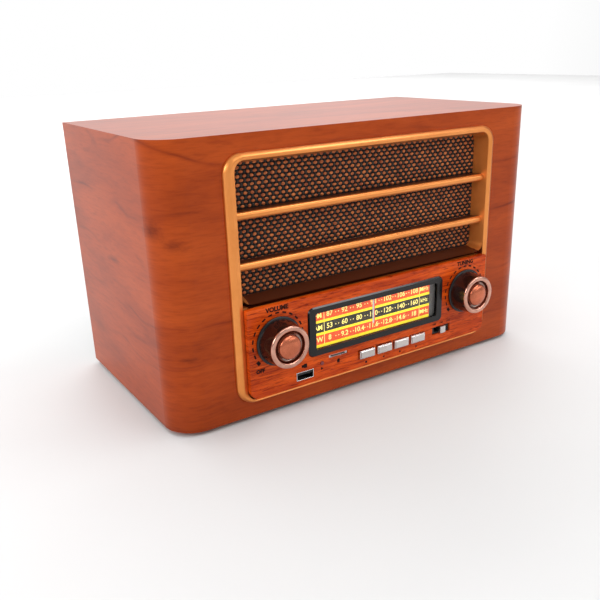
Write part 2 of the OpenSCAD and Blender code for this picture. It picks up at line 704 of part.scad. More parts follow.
module aerial_base_tube() color("silver") place() difference() {
  union() {
    translate([aerial_x, aerial_y, aerial_z - 2]) cylinder(r = 3.4, h = 4);
    along_aerial(2.6) cylinder(r = 1.9, h = 6);
    along_aerial(8) cylinder(r = aerial_r, h = aerial_l);
  }
  translate([aerial_x, aerial_y, aerial_z - 3]) cylinder(r = 1.5 + run, h = 6);
  along_aerial(11) cylinder(r = aerial_r - 0.64, h = aerial_l);
}

module aerial_mid_tube() color("silver") place() difference() {
  along_aerial(11.5) cylinder(r = aerial_r - 0.7, h = aerial_l - 2);
  along_aerial(14) cylinder(r = aerial_r - 1.44, h = aerial_l);
}

module aerial_tip() color("silver") place() {
  along_aerial(14.5) cylinder(r = aerial_r - 1.5, h = aerial_l - 2);
  along_aerial(aerial_l + 12) cylinder(r = aerial_r, h = 6);
}

// ---- nodes ----

cabinet_wrap();
top_board();
bottom_board();
back_cleats();
back_panel();
aerial_rest();
wood_screws();
rubber_feet();
grille_bezel();
grille_cloth();
speaker_baffle();
speaker_frame();
speaker_magnet();
speaker_cone();
speaker_dust_cap();
speaker_screws();
control_panel();
dial_frame();
dial_lens();
dial_scale();
tuning_pointer();
pointer_rail();
dial_chassis();
dial_drum();
pulley_left();
pulley_right();
dial_cord();
tuning_capacitor();
tuning_shaft();
tuning_knob_body();
tuning_knob_ring();
tuning_knob_cap();
volume_control();
volume_shaft();
volume_knob_body();
volume_knob_ring();
volume_knob_cap();
main_board();
usb_shell();
usb_tongue();
card_socket();
tact_switches();
play_led();
band_switch_body();
band_switch_knob();
push_button_1();
push_button_2();
push_button_3();
push_button_4();
transformer_core();
transformer_coil();
power_inlet();
aux_jack();
battery_tray();
battery_cells();
battery_door();
aerial_swivel();
aerial_base_tube();
aerial_mid_tube();
aerial_tip();
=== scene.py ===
"""Looks of a table radio in a wooden cabinet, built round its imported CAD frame.

Lengths are written in millimetres from the middle of the cabinet's front face at its
underside: x to the right, y backwards, z up. TO_FRAME takes them to the row frame in metres.
"""
import math
import random

import bmesh
import bpy
from mathutils import Euler, Matrix, Vector


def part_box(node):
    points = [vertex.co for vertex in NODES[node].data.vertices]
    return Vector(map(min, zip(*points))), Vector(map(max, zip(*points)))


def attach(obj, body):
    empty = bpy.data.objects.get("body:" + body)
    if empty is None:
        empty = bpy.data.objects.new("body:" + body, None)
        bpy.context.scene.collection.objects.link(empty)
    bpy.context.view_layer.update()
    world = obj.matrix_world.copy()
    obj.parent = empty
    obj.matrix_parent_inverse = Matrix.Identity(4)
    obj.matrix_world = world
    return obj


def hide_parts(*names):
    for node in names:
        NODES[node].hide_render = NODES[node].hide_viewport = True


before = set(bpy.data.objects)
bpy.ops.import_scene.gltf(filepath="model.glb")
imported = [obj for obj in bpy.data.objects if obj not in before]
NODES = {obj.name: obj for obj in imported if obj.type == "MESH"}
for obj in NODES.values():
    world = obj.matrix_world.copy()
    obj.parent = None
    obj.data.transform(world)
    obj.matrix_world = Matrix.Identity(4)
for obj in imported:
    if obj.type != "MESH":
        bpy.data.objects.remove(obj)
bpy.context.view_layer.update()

# ---- places taken from the frame ----

CABINET_LOW, CABINET_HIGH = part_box("cabinet_wrap")
TO_FRAME = (Matrix.Translation((0, CABINET_LOW.y, CABINET_LOW.z))
            @ Matrix.Scale(0.001, 4))
TO_MM = TO_FRAME.inverted()


def box_mm(node):
    """Lowest and highest corner of a CAD node in millimetres from the cabinet front."""
    low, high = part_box(node)
    return TO_MM @ low, TO_MM @ high


def middle(node):
    """Middle of a CAD node's box in millimetres."""
    low, high = box_mm(node)
    return (low + high) / 2


def radius_of(node):
    """Radius of a round CAD node that faces forwards."""
    low, high = box_mm(node)
    return (high.x - low.x) / 2


WRAP_LOW, WRAP_HIGH = box_mm("cabinet_wrap")
# The baffle lies against the inside of the front board.
BOARD_T = box_mm("speaker_baffle")[0].y
PANEL_Y = box_mm("control_panel")[0].y
SCALE_Y = box_mm("dial_scale")[0].y
KNOBS = {"volume": middle("volume_knob_cap"), "tuning": middle("tuning_knob_cap")}
# Heights of a knob's parts in front of the cabinet, and their radii.
CAP_FRONT = -box_mm("tuning_knob_cap")[0].y
RING_FRONT = -box_mm("tuning_knob_ring")[0].y
RECESS = -box_mm("tuning_knob_cap")[1].y
KNOB_BACK = -box_mm("tuning_knob_body")[1].y
KNOB_R = radius_of("tuning_knob_body")
RING_R = radius_of("tuning_knob_ring")
CAP_R = radius_of("tuning_knob_cap")

# ---- materials ----


class Look:
    """One procedural material on a Principled shader."""

    def __init__(self, name, **values):
        self.material = bpy.data.materials.new(name)
        self.material.use_nodes = True
        self.tree = self.material.node_tree
        self.shader = self.tree.nodes["Principled BSDF"]
        for key, value in values.items():
            self.set(key, value)

    def set(self, key, value):
        socket = self.shader.inputs[key.replace("_", " ")]
        if isinstance(value, bpy.types.NodeSocket):
            self.tree.links.new(value, socket)
        else:
            socket.default_value = (*value, 1) if isinstance(value, tuple) else value

    def node(self, kind, out=0, props=None, **inputs):
        """Adds a node and gives one of its outputs; an input is named, or _0 for the first."""
        n = self.tree.nodes.new(kind)
        for key, value in (props or {}).items():
            setattr(n, key, value)
        for key, value in inputs.items():
            index = int(key[1:]) if key[0] == "_" else key.replace("_", " ")
            if isinstance(value, bpy.types.NodeSocket):
                self.tree.links.new(value, n.inputs[index])
            else:
                n.inputs[index].default_value = value
        return n.outputs[out]

    def coords(self, kind="Object"):
        """Object coordinates in metres, or the Normal."""
        return self.node("ShaderNodeTexCoord", out=kind)

    def axis(self, k, vector):
        """One number of a vector: x is 0, y is 1 and z is 2."""
        return self.node("ShaderNodeSeparateXYZ", out=k, Vector=vector)

    def place(self, scale=(1, 1, 1), shift=(0, 0, 0), turn=(0, 0, 0)):
        """Object coordinates scaled, then turned, then moved."""
        return self.node("ShaderNodeMapping", Vector=self.coords(), Scale=scale,
                         Location=shift, Rotation=turn)

    def noise(self, vector, scale=1.0, detail=4.0, rough=0.55, distort=0.0):
        return self.node("ShaderNodeTexNoise", Vector=vector, Scale=scale, Detail=detail,
                         Roughness=rough, Distortion=distort)

    def ramp(self, factor, *stops):
        """Colours or greys, each at its place along the factor."""
        n = self.tree.nodes.new("ShaderNodeValToRGB")
        self.tree.links.new(factor, n.inputs[0])
        points = n.color_ramp.elements
        while len(points) < len(stops):
            points.new(0.5)
        for point, (place, colour) in zip(points, stops):
            point.position = place
            point.color = (*colour, 1) if isinstance(colour, tuple) else (colour,) * 3 + (1,)
        return n.outputs[0]

    def math(self, operation, a, b=0.0, c=0.0):
        return self.node("ShaderNodeMath", props={"operation": operation}, _0=a, _1=b, _2=c)

    def mix(self, factor, a, b, blend="MIX"):
        """Mixes two colours."""
        n = self.tree.nodes.new("ShaderNodeMix")
        n.data_type, n.blend_type = "RGBA", blend
        for index, value in ((0, factor), (6, a), (7, b)):
            if isinstance(value, bpy.types.NodeSocket):
                self.tree.links.new(value, n.inputs[index])
            else:
                n.inputs[index].default_value = (*value, 1) if isinstance(value, tuple) else value
        return n.outputs[2]

    def bump(self, height, strength, distance_mm, below=None):
        extra = {"Normal": below} if below else {}
        return self.node("ShaderNodeBump", Height=height, Strength=strength,
                         Distance=distance_mm / 1000, **extra)


def stretched(look, size, across):
    """Coordinates squeezed across the grain, so that marks run along it."""
    return look.place(tuple(size * a for a in across))


# Painted shade: soft dark patches round the rounded left-front corner: their middles and half
# sizes, in millimetres.
PAINTED_CORNER_SHADE = (((-147, 14, 127), (10, 14, 9)), ((-138, 4, 119), (15, 8, 5.5)),
                ((-150, 80, 96), (6, 20, 4)), ((-138, 1, 49), (13, 8, 2.5)))


def with_figure_marks(look, tone):
    """The tone with painted shade: soft ragged dark places round the left-front corner, at the
    places listed above.
    """
    for middle_mm, half_mm in PAINTED_CORNER_SHADE:
        near = tuple(1000 / half for half in half_mm)
        centre = TO_FRAME @ Vector(middle_mm)
        spot = look.place(near, tuple(-centre[k] * near[k] for k in range(3)))
        far = look.node("ShaderNodeVectorMath", out=1, props={"operation": "LENGTH"}, _0=spot)
        ragged = look.math("MULTIPLY_ADD", look.noise(spot, 1.6, 4.0, 0.7, 0.6), 1.2, far)
        mark = look.ramp(look.math("MULTIPLY", ragged, 0.5), (0.28, (0.34, 0.24, 0.26)),
                         (0.68, (1.0, 1.0, 1.0)))
        tone = look.mix(0.85, tone, mark, "MULTIPLY")
    return tone


def bare_board(look, x_mm, y_mm, z_mm):
    """1 where no film is: on the boards' cut rear edges, and where all of this holds: nearer
    the cabinet's middle than x_mm and z_mm, and further behind its front than y_mm."""
    centred = look.place(shift=(0, -CABINET_LOW.y, -(CABINET_LOW.z + CABINET_HIGH.z) / 2))
    side, depth, height = (look.axis(k, centred) for k in range(3))
    in_width = look.math("LESS_THAN", look.math("ABSOLUTE", side), x_mm / 1000)
    in_height = look.math("LESS_THAN", look.math("ABSOLUTE", height), z_mm / 1000)
    behind = look.math("GREATER_THAN", depth, y_mm / 1000)
    inside = look.math("MULTIPLY", behind, look.math("MULTIPLY", in_width, in_height))
    rearward = look.math("GREATER_THAN", look.axis(1, look.coords("Normal")), 0.9)
    return look.math("MAXIMUM", inside, rearward)


def wood_film(name, across, bands, bare_x, bare_y, bare_z):
    """Cherry film under satin lacquer; across squeezes the marks so that they lie level.

    The last three values are where bare_board leaves it off, in millimetres.
    """
    look = Look(name, Specular_IOR_Level=0.16)
    blotch = look.noise(stretched(look, 9.0, tuple(0.35 * a + 0.65 for a in across)), 1.0,
                        4.0, 0.6, 0.5)
    tone = look.ramp(blotch, (0.30, (0.26, 0.033, 0.002)), (0.48, (0.345, 0.047, 0.0035)),
                     (0.70, (0.42, 0.064, 0.006)))
    fibre = look.noise(stretched(look, 60.0, across), 1.5, 5.0, 0.65)
    grain = look.ramp(fibre, (0.30, (0.74, 0.68, 0.62)), (0.52, (1.0, 1.0, 1.0)),
                      (0.75, (1.10, 1.12, 1.15)))
    tone = look.mix(0.8, tone, grain, "MULTIPLY")
    # few thin dark lines that wander slowly across the face
    lines = look.node("ShaderNodeTexWave", props={"bands_direction": bands},
                      Vector=stretched(look, 5.5, tuple(0.08 * a + 0.92 for a in across)),
                      Scale=1.0, Distortion=5.5, Detail=2.5, Detail_Scale=1.3,
                      Detail_Roughness=0.45)
    lines = look.ramp(lines, (0.0, (0.55, 0.44, 0.38)), (0.005, (0.82, 0.76, 0.73)),
                      (0.03, (1.0, 1.0, 1.0)))
    fading = look.noise(stretched(look, 14.0, (1, 1, 1)), 1.0, 2.0, 0.5)
    fading = look.ramp(fading, (0.46, 0.0), (0.66, 0.9))
    tone = look.mix(fading, tone, look.mix(1.0, tone, lines, "MULTIPLY"))
    smudge = look.noise(stretched(look, 11.0, tuple(0.5 * a + 0.5 for a in across)), 1.0,
                        3.0, 0.6, 1.0)
    smudge = look.ramp(smudge, (0.62, (1.0, 1.0, 1.0)), (0.76, (0.58, 0.46, 0.42)))
    tone = look.mix(0.8, tone, smudge, "MULTIPLY")
    # painted shade round the rounded left-front corner
    tone = with_figure_marks(look, tone)
    bare = bare_board(look, bare_x, bare_y, bare_z)
    chips = look.ramp(look.noise(look.place(), 900.0, 5.0, 0.7),
                      (0.3, (0.12, 0.060, 0.030)), (0.7, (0.26, 0.150, 0.080)))
    look.set("Base_Color", look.mix(bare, tone, chips))
    look.set("Roughness", look.math("MULTIPLY_ADD", bare, 0.45, 0.29))
    pores = look.noise(stretched(look, 150.0, across), 3.0, 2.0, 0.5)
    look.set("Normal", look.bump(pores, 0.05, 0.05, look.bump(fibre, 0.03, 0.12)))
    return look.material


def panel_print():
    """Bright wood print: short dark level streaks on orange, under gloss lacquer."""
    look = Look("panel_wood_print", Roughness=0.26, Specular_IOR_Level=0.15)
    wide = look.noise(look.place((16, 16, 150)), 1.5, 4.0, 0.6, 0.4)
    tone = look.ramp(wide, (0.30, (0.33, 0.026, 0.002)), (0.5, (0.56, 0.062, 0.004)),
                     (0.72, (0.80, 0.115, 0.009)))
    dashes = look.noise(look.place((75, 75, 900)), 1.6, 3.0, 0.65)
    dashes = look.ramp(dashes, (0.34, (0.36, 0.24, 0.20)), (0.47, (1.0, 1.0, 1.0)))
    tone = look.mix(0.85, tone, dashes, "MULTIPLY")
    rare = look.noise(look.place((40, 40, 420)), 1.1, 2.0, 0.5, 0.8)
    rare = look.ramp(rare, (0.62, (1.0, 1.0, 1.0)), (0.72, (0.55, 0.40, 0.34)))
    look.set("Base_Color", look.mix(0.8, tone, rare, "MULTIPLY"))
    look.set("Normal", look.bump(dashes, 0.06, 0.05))
    return look.material


def satin_gold():
    """Orange gold lacquer, with painted brown shade and reflection of the dark cloth on the slats
    and on the shelf over the panel.
    """
    look = Look("satin_gold_lacquer", Coat_Weight=0.15, Coat_Roughness=0.13)
    cloudy = look.noise(look.place((60, 60, 60)), 1.0, 4.0, 0.6)
    gold = look.ramp(cloudy, (0.25, (0.68, 0.225, 0.045)), (0.75, (0.80, 0.29, 0.068)))
    # painted shade and reflection of the dark cloth on what faces up: behind the slats' noses,
    # and right out to the shelf's edge
    nose_mm, shelf_top_mm, lip_top_mm = 1.6, 78, 20
    level = look.math("GREATER_THAN", look.axis(2, look.coords("Normal")), 0.92)
    depth, height = look.axis(1, look.coords()), look.axis(2, look.coords())
    behind_nose = look.math("GREATER_THAN", depth, CABINET_LOW.y + nose_mm / 1000)
    low_down = look.math("LESS_THAN", height, CABINET_LOW.z + shelf_top_mm / 1000)
    over_lip = look.math("GREATER_THAN", height, CABINET_LOW.z + lip_top_mm / 1000)
    painted_shelf_shade = look.math("MULTIPLY", level, look.math("MULTIPLY", over_lip, look.math(
        "MAXIMUM", behind_nose, low_down)))
    # the painted shade: dark brown and hardly metal on those upward faces
    look.set("Base_Color", look.mix(painted_shelf_shade, gold, (0.060, 0.011, 0.002)))
    look.set("Metallic", look.math("MULTIPLY_ADD", painted_shelf_shade, -0.68, 0.72))
    look.set("Roughness", look.ramp(cloudy, (0.2, 0.29), (0.8, 0.35)))
    waves = look.noise(look.place(), 260.0, 2.0, 0.5)
    look.set("Normal", look.bump(waves, 0.04, 0.04))
    return look.material


def moulded(name, colour, roughness=0.45, grain_mm=0.6, depth=0.25, worn=1.35, **more):
    """Moulded plastic with a fine spark-eroded grain and slightly polished patches."""
    look = Look(name, **more)
    grain = look.noise(look.place(), 1000 / grain_mm, 3.0, 0.6)
    cloudy = look.noise(look.place(), 38.0, 4.0, 0.6)
    bright = tuple(min(1.0, worn * c) for c in colour)
    look.set("Base_Color", look.ramp(cloudy, (0.3, colour), (0.75, bright)))
    look.set("Roughness", look.ramp(cloudy, (0.25, roughness - 0.06), (0.75, roughness + 0.08)))
    look.set("Normal", look.bump(grain, depth, 0.06))
    return look.material


def metal(name, colour, roughness=0.2, brushed=(1, 1, 1), depth=0.06, spread=0.12):
    """Plated or bare metal; brushed gives how hair lines stretch along each axis."""
    look = Look(name, Metallic=1.0)
    hairs = look.noise(look.place(tuple(220.0 * b for b in brushed)), 4.0, 3.0, 0.6)
    cloudy = look.noise(look.place(), 70.0, 4.0, 0.6)
    dull = tuple(0.78 * c for c in colour)
    look.set("Base_Color", look.ramp(cloudy, (0.25, dull), (0.6, colour)))
    look.set("Roughness", look.ramp(cloudy, (0.2, max(0.03, roughness - spread / 2)),
                                    (0.8, roughness + spread)))
    look.set("Normal", look.bump(hairs, depth, 0.03))
    return look.material


def spun(name, colour, which, roughness):
    """Metal turned round the axis of one of the KNOBS, with fine rings."""
    look = Look(name, Metallic=1.0, Roughness=roughness)
    centre = TO_FRAME @ KNOBS[which]
    rings = look.node("ShaderNodeTexWave", props={"wave_type": "RINGS", "rings_direction": "Y"},
                      Vector=look.place(shift=tuple(-centre)),
                      Scale=1500.0, Distortion=0.8, Detail=2.0)
    cloudy = look.noise(look.place(), 160.0, 3.0, 0.6)
    dull = tuple(0.72 * c for c in colour)
    look.set("Base_Color", look.ramp(cloudy, (0.3, dull), (0.62, colour)))
    look.set("Normal", look.bump(rings, 0.07, 0.03))
    return look.material


def speckled(name, low, high, size_mm, roughness=0.8, depth=0.5, **more):
    """A rough stuff of two mixed tones, such as raw board, paper or ferrite."""
    look = Look(name, Roughness=roughness, **more)
    bits = look.noise(look.place(), 1000 / size_mm, 6.0, 0.7)
    look.set("Base_Color", look.ramp(bits, (0.3, low), (0.7, high)))
    look.set("Normal", look.bump(bits, depth, 0.15))
    return look.material


def lit(name, colour, strength, unevenness=0.12):
    """Printed film with lamp light behind it."""
    look = Look(name, Roughness=0.5)
    cloudy = look.noise(look.place((30, 30, 30)), 1.0, 2.0, 0.5)
    low = tuple((1 - unevenness) * c for c in colour)
    tone = look.ramp(cloudy, (0.3, low), (0.7, colour))
    look.set("Base_Color", tone)
    look.set("Emission_Color", tone)
    look.set("Emission_Strength", strength)
    return look.material


def winding():
    """Enamelled copper wire in close level turns."""
    look = Look("coil_winding", Roughness=0.35, Coat_Weight=0.4)
    turns = look.node("ShaderNodeTexWave", props={"bands_direction": "Z"},
                      Vector=look.place(), Scale=700.0, Distortion=0.4)
    look.set("Base_Color", look.ramp(turns, (0.0, (0.16, 0.05, 0.015)),
                                     (0.6, (0.60, 0.25, 0.08))))
    look.set("Normal", look.bump(turns, 0.6, 0.2))
    return look.material


def circuit():
    """Green solder mask with lighter copper tracks under it."""
    look = Look("circuit_board", Roughness=0.32, Coat_Weight=0.3)
    tracks = look.node("ShaderNodeTexBrick", out="Fac",
                       Vector=look.place(turn=(math.pi / 2, 0, 0)), Scale=90.0,
                       Mortar_Size=0.06, Brick_Width=0.9, Row_Height=0.22)
    look.set("Base_Color", look.mix(tracks, (0.012, 0.11, 0.035), (0.05, 0.26, 0.09)))
    look.set("Normal", look.bump(tracks, 0.3, 0.05))
    return look.material


def glass():
    """Clear acrylic with faint smudges."""
    look = Look("clear_acrylic", Base_Color=(1.0, 1.0, 1.0), Transmission_Weight=1.0, IOR=1.3,
                Specular_IOR_Level=0.25)
    smudge = look.noise(look.place(), 60.0, 4.0, 0.65)
    look.set("Roughness", look.ramp(smudge, (0.45, 0.0), (0.8, 0.06)))
    return look.material


def pointer_paint(split_mm):
    """Silver on the blade's left part, red to the right of split_mm, with a faint painted glow.
    """
    look = Look("pointer_paint", Roughness=0.3)
    right = look.math("GREATER_THAN", look.axis(0, look.coords()), split_mm / 1000)
    tone = look.mix(right, (0.75, 0.72, 0.70), (0.80, 0.04, 0.02))
    look.set("Base_Color", tone)
    # painted glow: the blade's colour also emits light, though it holds no lamp
    look.set("Emission_Color", tone)
    look.set("Emission_Strength", 0.25)
    wear = look.noise(look.place(), 900.0, 3.0, 0.6)
    look.set("Normal", look.bump(wear, 0.1, 0.02))
    return look.material


def thread(name, low, high, roughness=0.7):
    """Twisted yarn, with a little sheen."""
    look = Look(name, Roughness=roughness, Specular_IOR_Level=0.3)
    twist = look.noise(look.place((900, 900, 2600)), 1.0, 2.0, 0.6)
    patch = look.noise(look.place(), 330.0, 3.0, 0.6)
    tone = look.ramp(patch, (0.36, low), (0.62, high))
    fibre = look.ramp(twist, (0.3, (0.7, 0.7, 0.7)), (0.7, (1.1, 1.1, 1.1)))
    look.set("Base_Color", look.mix(0.8, tone, fibre, "MULTIPLY"))
    look.set("Normal", look.bump(twist, 0.5, 0.1))
    return look.material


# The film ends half a millimetre before the boards' inner faces.
FILM_IN = BOARD_T - 0.5
FAR_MM = 1000.0
WOOD = wood_film("cherry_film", (1, 1, 9), "Z", WRAP_HIGH.x - FILM_IN, FILM_IN, FAR_MM)
WOOD_TOP = wood_film("cherry_film_top", (1, 9, 1), "Y", FAR_MM, -FAR_MM,
                     (WRAP_HIGH.z - WRAP_LOW.z) / 2 - 0.5)
PANEL = panel_print()
GOLD = satin_gold()
BLACK = moulded("black_moulding", (0.012, 0.012, 0.013), 0.5, 0.5, 0.4)
DARK_GLOSS = moulded("dark_gloss_plastic", (0.006, 0.005, 0.005), 0.16, 3.0, 0.02, 1.3,
                     Coat_Weight=0.12, Coat_Roughness=0.05, Specular_IOR_Level=0.3)
CHERRY_GLOSS = moulded("dark_cherry_gloss", (0.014, 0.004, 0.003), 0.16, 3.0, 0.02, 1.5,
                       Coat_Weight=0.2, Coat_Roughness=0.06, Specular_IOR_Level=0.4)
IVORY = moulded("ivory_moulding", (0.62, 0.57, 0.45), 0.4, 0.6, 0.15, 1.1)
RUBBER = moulded("black_rubber", (0.018, 0.018, 0.018), 0.75, 0.4, 0.5)
NICKEL = metal("bright_nickel", (0.80, 0.79, 0.77), 0.12)
SATIN_NICKEL = metal("satin_nickel", (0.66, 0.62, 0.60), 0.24, (1, 1, 8))
TUBE_CHROME = metal("drawn_tube_chrome", (0.82, 0.82, 0.82), 0.10, (0.3, 6, 6))
STEEL = metal("zinc_steel", (0.58, 0.58, 0.56), 0.34, (1, 1, 1), 0.12, 0.2)
SHAFT = metal("turned_steel", (0.60, 0.60, 0.60), 0.25, (8, 1, 8))
DARK_CHROME = metal("dark_chrome", (0.30, 0.22, 0.19), 0.14, (1, 1, 1), 0.04)
BOARD = speckled("raw_fibreboard", (0.30, 0.17, 0.085), (0.50, 0.32, 0.17), 1.2)
FERRITE = speckled("ferrite_grey", (0.035, 0.035, 0.037), (0.09, 0.09, 0.092), 0.8, 0.55, 0.3)
PAPER = speckled("cone_paper", (0.012, 0.012, 0.012), (0.04, 0.038, 0.036), 0.9, 0.9, 0.8)
IRON = speckled("varnished_iron", (0.06, 0.055, 0.05), (0.16, 0.15, 0.14), 1.5, 0.4, 0.2,
                Metallic=0.8)
JACKET = moulded("cell_jacket", (0.015, 0.05, 0.16), 0.3, 2.0, 0.05, 1.3, Coat_Weight=0.5)
CORD = thread("dial_cord_braid", (0.02, 0.05, 0.02), (0.05, 0.09, 0.04))
YARN_DARK = thread("dark_yarn", (0.006, 0.005, 0.004), (0.030, 0.022, 0.016), 0.5)
YARN_COPPER = thread("copper_yarn", (0.28, 0.055, 0.014), (0.62, 0.18, 0.045), 0.5)
BACKING = thread("weave_backing", (0.004, 0.003, 0.003), (0.014, 0.009, 0.007), 0.9)
GLASS = glass()
COIL = winding()
CIRCUIT = circuit()
LEGEND = moulded("printed_black", (0.012, 0.005, 0.003), 0.6, 2.0, 0.02,
                 Specular_IOR_Level=0.08)
LENS_RED = moulded("led_lens", (0.14, 0.008, 0.006), 0.12, 3.0, 0.02, 1.6, Coat_Weight=0.6)
LIT_YELLOW = lit("scale_yellow", (1.0, 0.80, 0.02), 0.75)
LIT_RED = lit("scale_red", (0.95, 0.10, 0.012), 0.62, 0.3)
SCALE_BLACK = lit("scale_black", (0.030, 0.022, 0.008), 0.2)
LIT_FIGURE = lit("scale_figures", (1.0, 0.86, 0.25), 0.85, 0.05)
SCALE_GREY = moulded("scale_carrier_grey", (0.16, 0.15, 0.14), 0.45, 1.5, 0.1)

# ---- mesh helpers ----

# These turn local z forwards or backwards.
FORWARD = Matrix(((1, 0, 0, 0), (0, 0, -1, 0), (0, 1, 0, 0), (0, 0, 0, 1)))
BACKWARD = Matrix(((1, 0, 0, 0), (0, 0, 1, 0), (0, -1, 0, 0), (0, 0, 0, 1)))


def facing(x, z, y=0.0):
    """Local z forwards out of the radio's front, from depth y."""
    return Matrix.Translation((x, y, z)) @ FORWARD


def circle(radius, height, sides):
    """Points round local z."""
    return [Vector((radius * math.cos(2 * math.pi * i / sides),
                    radius * math.sin(2 * math.pi * i / sides), height))
            for i in range(sides)]


def lathe(bm, profile, place=Matrix(), sides=96):
    """Turns (radius, height) points round local z."""
    rings = []
    for r, h in profile:
        points = [Vector((r, 0, h))] if r < 1e-6 else circle(r, h, sides)
        rings.append([bm.verts.new(place @ p) for p in points])
    for a, b in zip(rings, rings[1:]):
        for i in range(sides):
            j = (i + 1) % sides
            corners = [a[i % len(a)], a[j % len(a)], b[j % len(b)], b[i % len(b)]]
            corners = [v for k, v in enumerate(corners) if v not in corners[:k]]
            if len(corners) > 2:
                bm.faces.new(corners)


def prism(bm, outline, low, high, place=Matrix()):
    """Extrudes a flat outline of (x, y) points along local z."""
    bottom = [bm.verts.new(place @ Vector((x, y, low))) for x, y in outline]
    top = [bm.verts.new(place @ Vector((x, y, high))) for x, y in outline]
    bm.faces.new(bottom[::-1])
    bm.faces.new(top)
    for i in range(len(outline)):
        j = (i + 1) % len(outline)
        bm.faces.new((bottom[i], bottom[j], top[j], top[i]))


def rounded_outline(w, h, r, steps, cx=0.0, cy=0.0):
    """Points round a w by h rectangle with corners of radius r, about (cx, cy)."""
    points = []
    for corner, (sx, sy) in enumerate(((1, 1), (-1, 1), (-1, -1), (1, -1))):
        for k in range(steps + 1):
            a = math.pi / 2 * (corner + k / steps)
            points.append((cx + sx * (w / 2 - r) + r * math.cos(a),
                           cy + sy * (h / 2 - r) + r * math.sin(a)))
    return points


def rectangle(x0, z0, x1, z1):
    """Its four corners in order."""
    return [(x0, z0), (x1, z0), (x1, z1), (x0, z1)]


def link_object(name, data):
    obj = bpy.data.objects.new(name, data)
    bpy.context.scene.collection.objects.link(obj)
    return obj


def place_piece(obj, body, replaces=()):
    """Hangs a piece on its body, and hides the CAD nodes that it stands for."""
    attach(obj, body)
    if replaces:
        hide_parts(*replaces)
    return obj


def piece(name, bm, look, body, replaces=(), smooth=38):
    """Makes a shown piece of a mesh drawn in millimetres."""
    bm.transform(TO_FRAME)
    bmesh.ops.recalc_face_normals(bm, faces=bm.faces)
    mesh = bpy.data.meshes.new(name)
    bm.to_mesh(mesh)
    bm.free()
    mesh.materials.append(look)
    mesh.shade_smooth()
    mesh.set_sharp_from_angle(angle=math.radians(smooth))
    return place_piece(link_object(name, mesh), body, replaces)


def turned(name, profile, place, look, body, replaces=(), smooth=38):
    """A piece turned from (radius, height) points round local z."""
    bm = bmesh.new()
    lathe(bm, profile, place)
    return piece(name, bm, look, body, replaces, smooth)


# Points this close are one, and an edge is softened where its faces turn by more than this.
WELD_M = 1e-6
EDGE_DEGREES = 40


def dress(node, look, bevel_mm=0.0, segments=2):
    """Gives a CAD node its material, and softens its sharp edges."""
    obj = NODES[node]
    obj.data.materials.clear()
    obj.data.materials.append(look)
    if bevel_mm:
        weld = obj.modifiers.new("weld", "WELD")
        weld.merge_threshold = WELD_M
        bevel = obj.modifiers.new("soft_edges", "BEVEL")
        bevel.width = bevel_mm / 1000
        bevel.segments = segments
        bevel.limit_method = "ANGLE"
        bevel.angle_limit = math.radians(EDGE_DEGREES)
        bevel.harden_normals = False
        normals = obj.modifiers.new("flat_faces", "WEIGHTED_NORMAL")
        normals.keep_sharp = False
        obj.data.shade_smooth()


# ---- materials of the CAD nodes ----

dress("cabinet_wrap", WOOD)
for name in ("top_board", "bottom_board"):
    dress(name, WOOD_TOP)
for name in ("back_cleats", "speaker_baffle"):
    dress(name, BOARD)
dress("back_panel", BLACK)
dress("aerial_rest", BLACK, 0.4)
dress("rubber_feet", RUBBER, 0.6)
dress("control_panel", PANEL, 0.3)
dress("dial_frame", DARK_GLOSS, 0.35)
dress("dial_lens", GLASS)
dress("dial_scale", SCALE_GREY)
dress("tuning_pointer", pointer_paint(middle("tuning_pointer").x + 0.15), 0.12)
for name in ("pointer_rail", "tuning_shaft", "volume_shaft"):
    dress(name, SHAFT)
for name in ("dial_chassis", "speaker_frame", "speaker_screws", "volume_control"):
    dress(name, STEEL)
for name in ("dial_drum", "pulley_left", "pulley_right", "tuning_capacitor"):
    dress(name, IVORY)
dress("dial_cord", CORD)
dress("speaker_magnet", FERRITE)
for name in ("speaker_cone", "speaker_dust_cap"):
    dress(name, PAPER)
dress("main_board", CIRCUIT)
dress("usb_shell", NICKEL, 0.1)
dress("usb_tongue", BLACK, 0.15)
dress("card_socket", SATIN_NICKEL, 0.1)
dress("tact_switches", BLACK)
dress("play_led", LENS_RED, 0.4)
dress("band_switch_body", BLACK, 0.2)
dress("band_switch_knob", SATIN_NICKEL, 0.35)
for i in range(1, 5):
    dress(f"push_button_{i}", SATIN_NICKEL, 0.45, 3)
dress("transformer_core", IRON)
dress("transformer_coil", COIL)
dress("power_inlet", BLACK, 0.4)
dress("aux_jack", NICKEL, 0.15)
dress("battery_tray", BLACK)
dress("battery_cells", JACKET, 0.8)
dress("battery_door", BLACK, 0.25)
dress("aerial_swivel", NICKEL, 0.4)
for name in ("aerial_base_tube", "aerial_mid_tube"):
    dress(name, TUBE_CHROME, 0.15)
dress("aerial_tip", TUBE_CHROME, 0.5)


# ---- wood screws ----

# Height and top radius of a screw's head; its cross: half length, half width, depth and how
# far it narrows towards its bottom.
HEAD_H = 2.0
HEAD_TOP_R = 2.0
CROSS_ARM, CROSS_HALF, CROSS_DEPTH, CROSS_TAPER = 1.45, 0.38, 1.2, 0.75
MERGE_MM = 0.001


def loose_boxes(node):
    """Lowest and highest corner, in millimetres, of each separate solid of a CAD node."""
    bm = bmesh.new()
    bm.from_mesh(NODES[node].data)
    bm.transform(TO_MM @ NODES[node].matrix_world)
    bmesh.ops.remove_doubles(bm, verts=bm.verts, dist=MERGE_MM)
    boxes, left = [], set(bm.verts)
    while left:
        found, queue = [], [left.pop()]
        while queue:
            vert = queue.pop()
            found.append(vert.co.copy())
            for edge in vert.link_edges:
                other = edge.other_vert(vert)
                if other in left:
                    left.remove(other)
                    queue.append(other)
        boxes.append([Vector(pick(c[k] for c in found) for k in range(3))
                      for pick in (min, max)])
    bm.free()
    return sorted(boxes, key=lambda box: tuple(box[0]))


